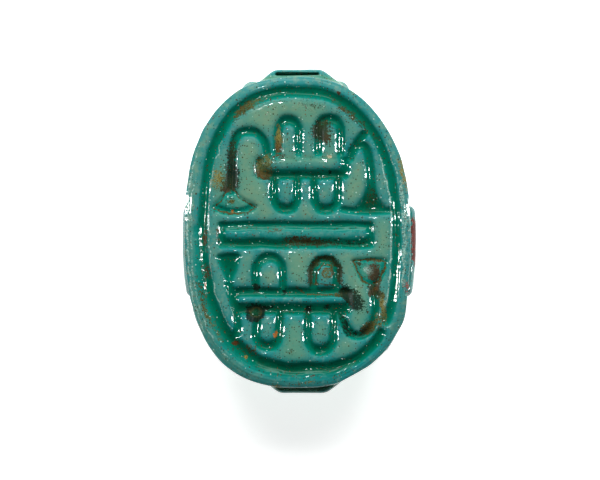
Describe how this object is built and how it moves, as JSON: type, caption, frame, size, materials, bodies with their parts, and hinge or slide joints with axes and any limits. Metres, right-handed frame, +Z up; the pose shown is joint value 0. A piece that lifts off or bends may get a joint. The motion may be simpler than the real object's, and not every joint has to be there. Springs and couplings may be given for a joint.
{
  "type": "scarab amulet",
  "caption": "Glazed beetle amulet lying on its back, with an oval plate carved with tied loops, drooping flowers and a border line.",
  "frame": {"origin": "centre of the bounding box in plan, on the surface that the amulet lies on", "axes": "+Y to the beetle's head along the string hole, +X across the legs, +Z up out of the carved plate"},
  "size_m": [0.0126, 0.0172, 0.0076],
  "materials": {
    "glaze": "glossy turquoise-green glaze, darker where it pools in the carving, with brown dirt"
  },
  "bodies": {
    "root": {"scarab": "glaze"}
  },
  "joints": []
}
